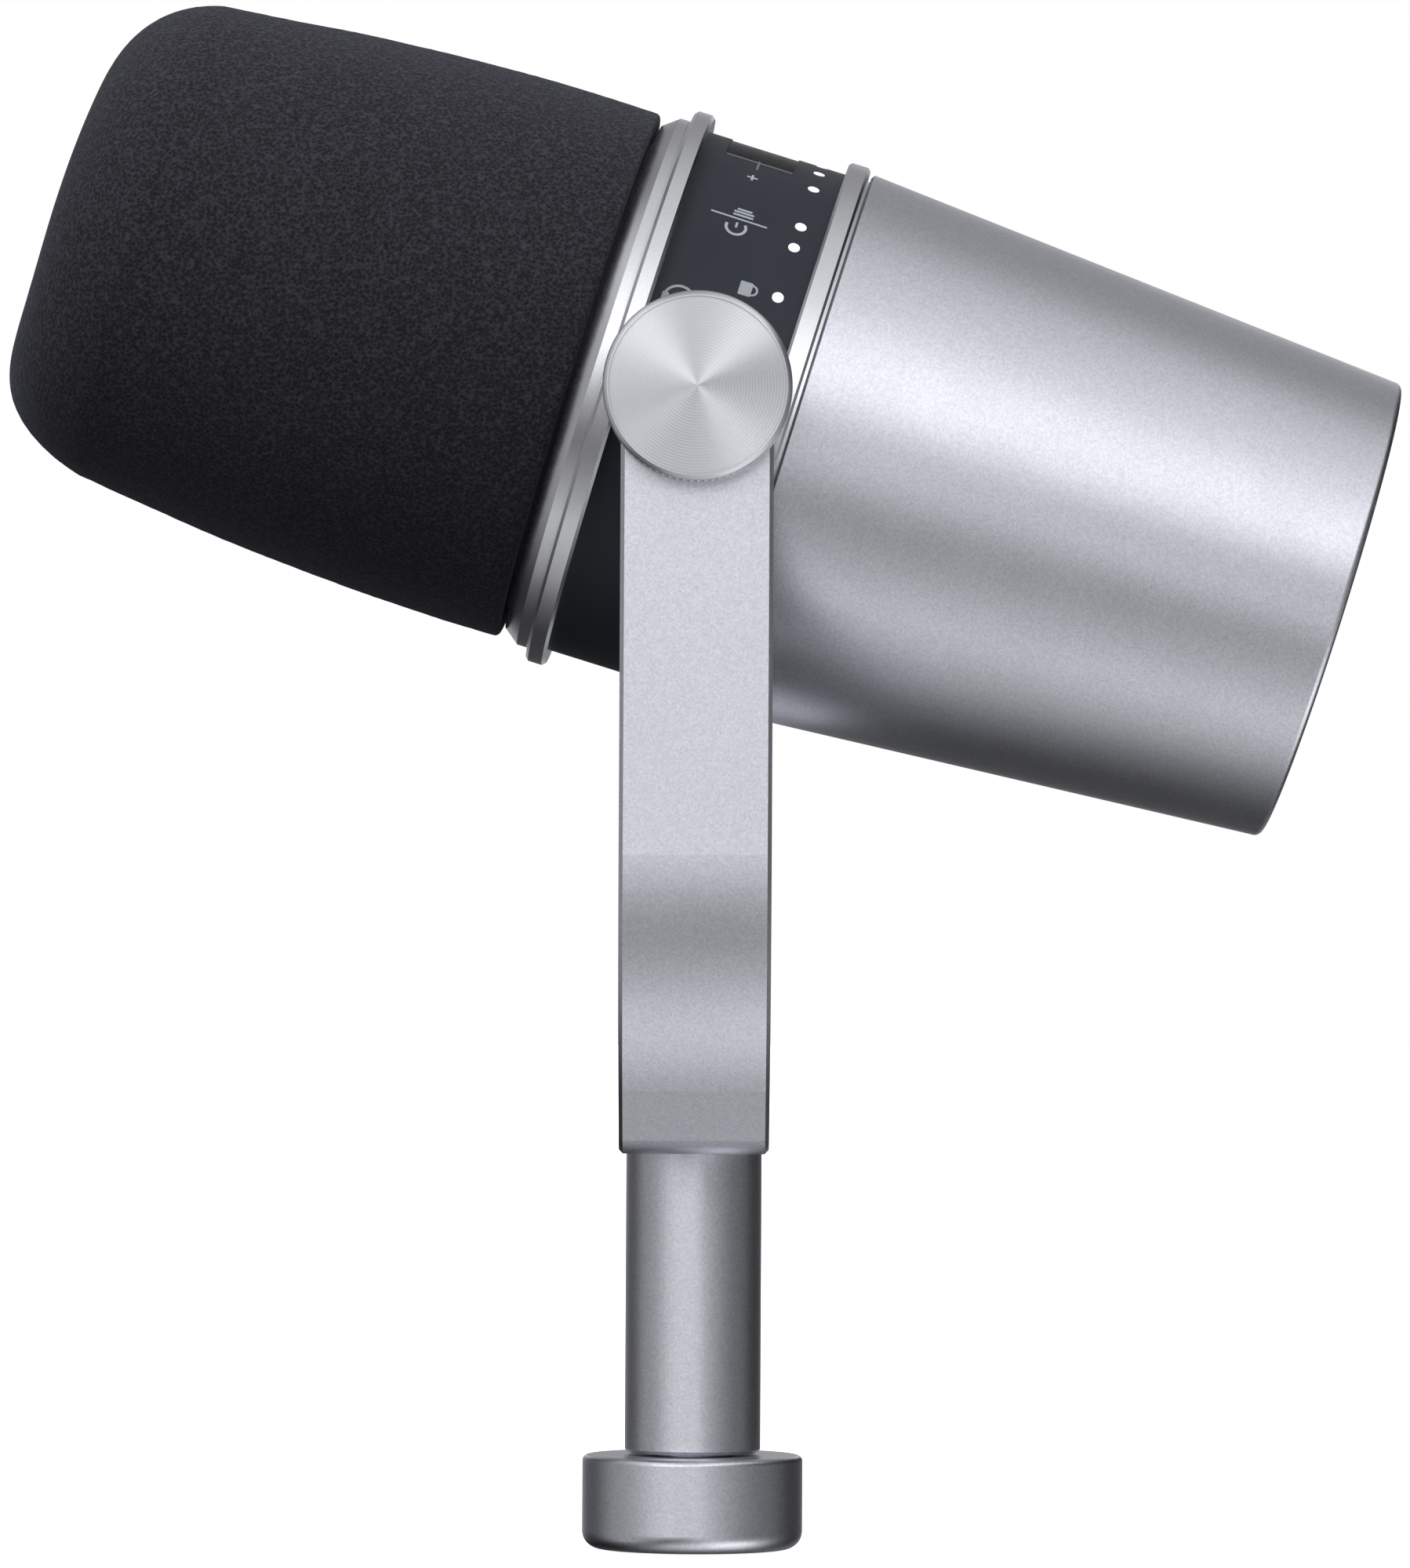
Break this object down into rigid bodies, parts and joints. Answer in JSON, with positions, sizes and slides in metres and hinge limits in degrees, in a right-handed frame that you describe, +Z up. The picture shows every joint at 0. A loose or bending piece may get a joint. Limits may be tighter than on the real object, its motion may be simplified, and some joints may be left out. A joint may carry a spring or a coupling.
{
  "type": "desktop microphone",
  "caption": "Dynamic microphone with foam windscreen and dark touch band, tilting in a U-shaped yoke on a stem with a threaded stand collar.",
  "frame": {"origin": "centre of the stand collar's bottom face, where the stand's thread goes in", "axes": "+Z up along the stem, the front of the microphone (windscreen) towards -X and the rear towards +X at the rest swivel, tilt axis along Y"},
  "size_m": [0.1564, 0.09, 0.1745],
  "materials": {
    "foam": "fine open-cell foam, charcoal black",
    "silver_paint": "fine sparkling silver paint on cast metal, satin",
    "ring_metal": "satin silver",
    "turned_aluminium": "face turned in fine circles, anodised clear",
    "band_plastic": "dark slate moulded plastic",
    "gloss_black": "gloss black",
    "light_white": "milky light pipe",
    "brass": "machined",
    "steel": "zinc plated",
    "mesh_steel": "fine woven wire",
    "contact_gold": "gold plated",
    "black_plastic": "moulded black plastic",
    "frame_plastic": "glass-filled nylon",
    "circuit_board": "green solder mask",
    "flex_board": "amber polyimide film",
    "chip": "epoxy",
    "fibre": "fibre washer",
    "nylon": "natural nylon",
    "rubber": "soft rubber",
    "film": "polyester film",
    "copper": "enamelled copper wire",
    "magnet_metal": "nickel-plated magnet"
  },
  "bodies": {
    "collar": {"stand_collar": "silver_paint", "thread_insert": "brass"},
    "yoke": {"stem": "silver_paint", "thrust_washer": "steel", "swivel_screw": "steel", "yoke_bar": "silver_paint", "stem_screw": "steel", "arm_bushes": "nylon"},
    "mic_body": {"front_ring": "ring_metal", "control_band": "band_plastic", "touch_slider": "gloss_black", "touch_board": "flex_board", "level_lights": "light_white", "rear_ring": "ring_metal", "rear_housing": "silver_paint", "rear_panel": "black_plastic", "panel_screws": "steel", "xlr_shell": "steel", "xlr_insert": "black_plastic", "xlr_pins": "contact_gold", "headphone_jack": "black_plastic", "jack_nut": "steel", "usb_socket": "steel", "usb_tongue": "black_plastic", "chassis": "frame_plastic", "main_board": "circuit_board", "board_screws": "steel", "board_chips": "chip", "board_capacitors": "chip", "audio_transformer": "magnet_metal", "socket_board": "circuit_board", "pivot_inserts": "brass", "friction_washers": "fibre", "grille_mesh": "mesh_steel", "grille_cage": "mesh_steel", "capsule_housing": "ring_metal", "capsule_front_plate": "ring_metal", "capsule_diaphragm": "film", "voice_coil": "copper", "magnet": "magnet_metal", "pole_cup": "magnet_metal", "capsule_sleeve": "black_plastic", "shock_rings": "rubber", "signal_lead": "rubber"},
    "windscreen": {"windscreen_foam": "foam"},
    "left_washer": {"left_knob_washer": "nylon"},
    "left_knob_assembly": {"left_knob": "turned_aluminium", "left_knob_cap": "turned_aluminium", "left_knob_stud": "steel"},
    "right_washer": {"right_knob_washer": "nylon"},
    "right_knob_assembly": {"right_knob": "turned_aluminium", "right_knob_cap": "turned_aluminium", "right_knob_stud": "steel"}
  },
  "joints": [
    {"name": "yoke_swivel", "type": "hinge", "parent": "collar", "child": "yoke", "pos_m": [0, 0, 0.0106], "axis": [0, 0, 1], "continuous": true},
    {"name": "body_tilt", "type": "hinge", "parent": "yoke", "child": "mic_body", "pos_m": [0, 0, 0.1289], "axis": [0, 1, 0], "range_deg": [-84, 44]},
    {"name": "windscreen_pull", "type": "slide", "parent": "mic_body", "child": "windscreen", "axis": [-0.9558, 0, 0.294], "range_m": [0, 0.075]},
    {"name": "left_washer_travel", "type": "slide", "parent": "mic_body", "child": "left_washer", "axis": [0, -1, 0], "range_m": [0, 0.0015]},
    {"name": "left_knob_turn", "type": "hinge", "parent": "left_washer", "child": "left_knob_assembly", "pos_m": [0, -0.0425, 0.1289], "axis": [0, -1, 0], "range_deg": [0, 540]},
    {"name": "right_washer_travel", "type": "slide", "parent": "mic_body", "child": "right_washer", "axis": [0, 1, 0], "range_m": [0, 0.0015]},
    {"name": "right_knob_turn", "type": "hinge", "parent": "right_washer", "child": "right_knob_assembly", "pos_m": [0, 0.0425, 0.1289], "axis": [0, 1, 0], "range_deg": [0, 540]}
  ],
  "couplings": [
    {"joint": "left_knob_turn", "follows": "left_washer_travel", "rad_per_m": 6283.2},
    {"joint": "right_knob_turn", "follows": "right_washer_travel", "rad_per_m": 6283.2}
  ]
}
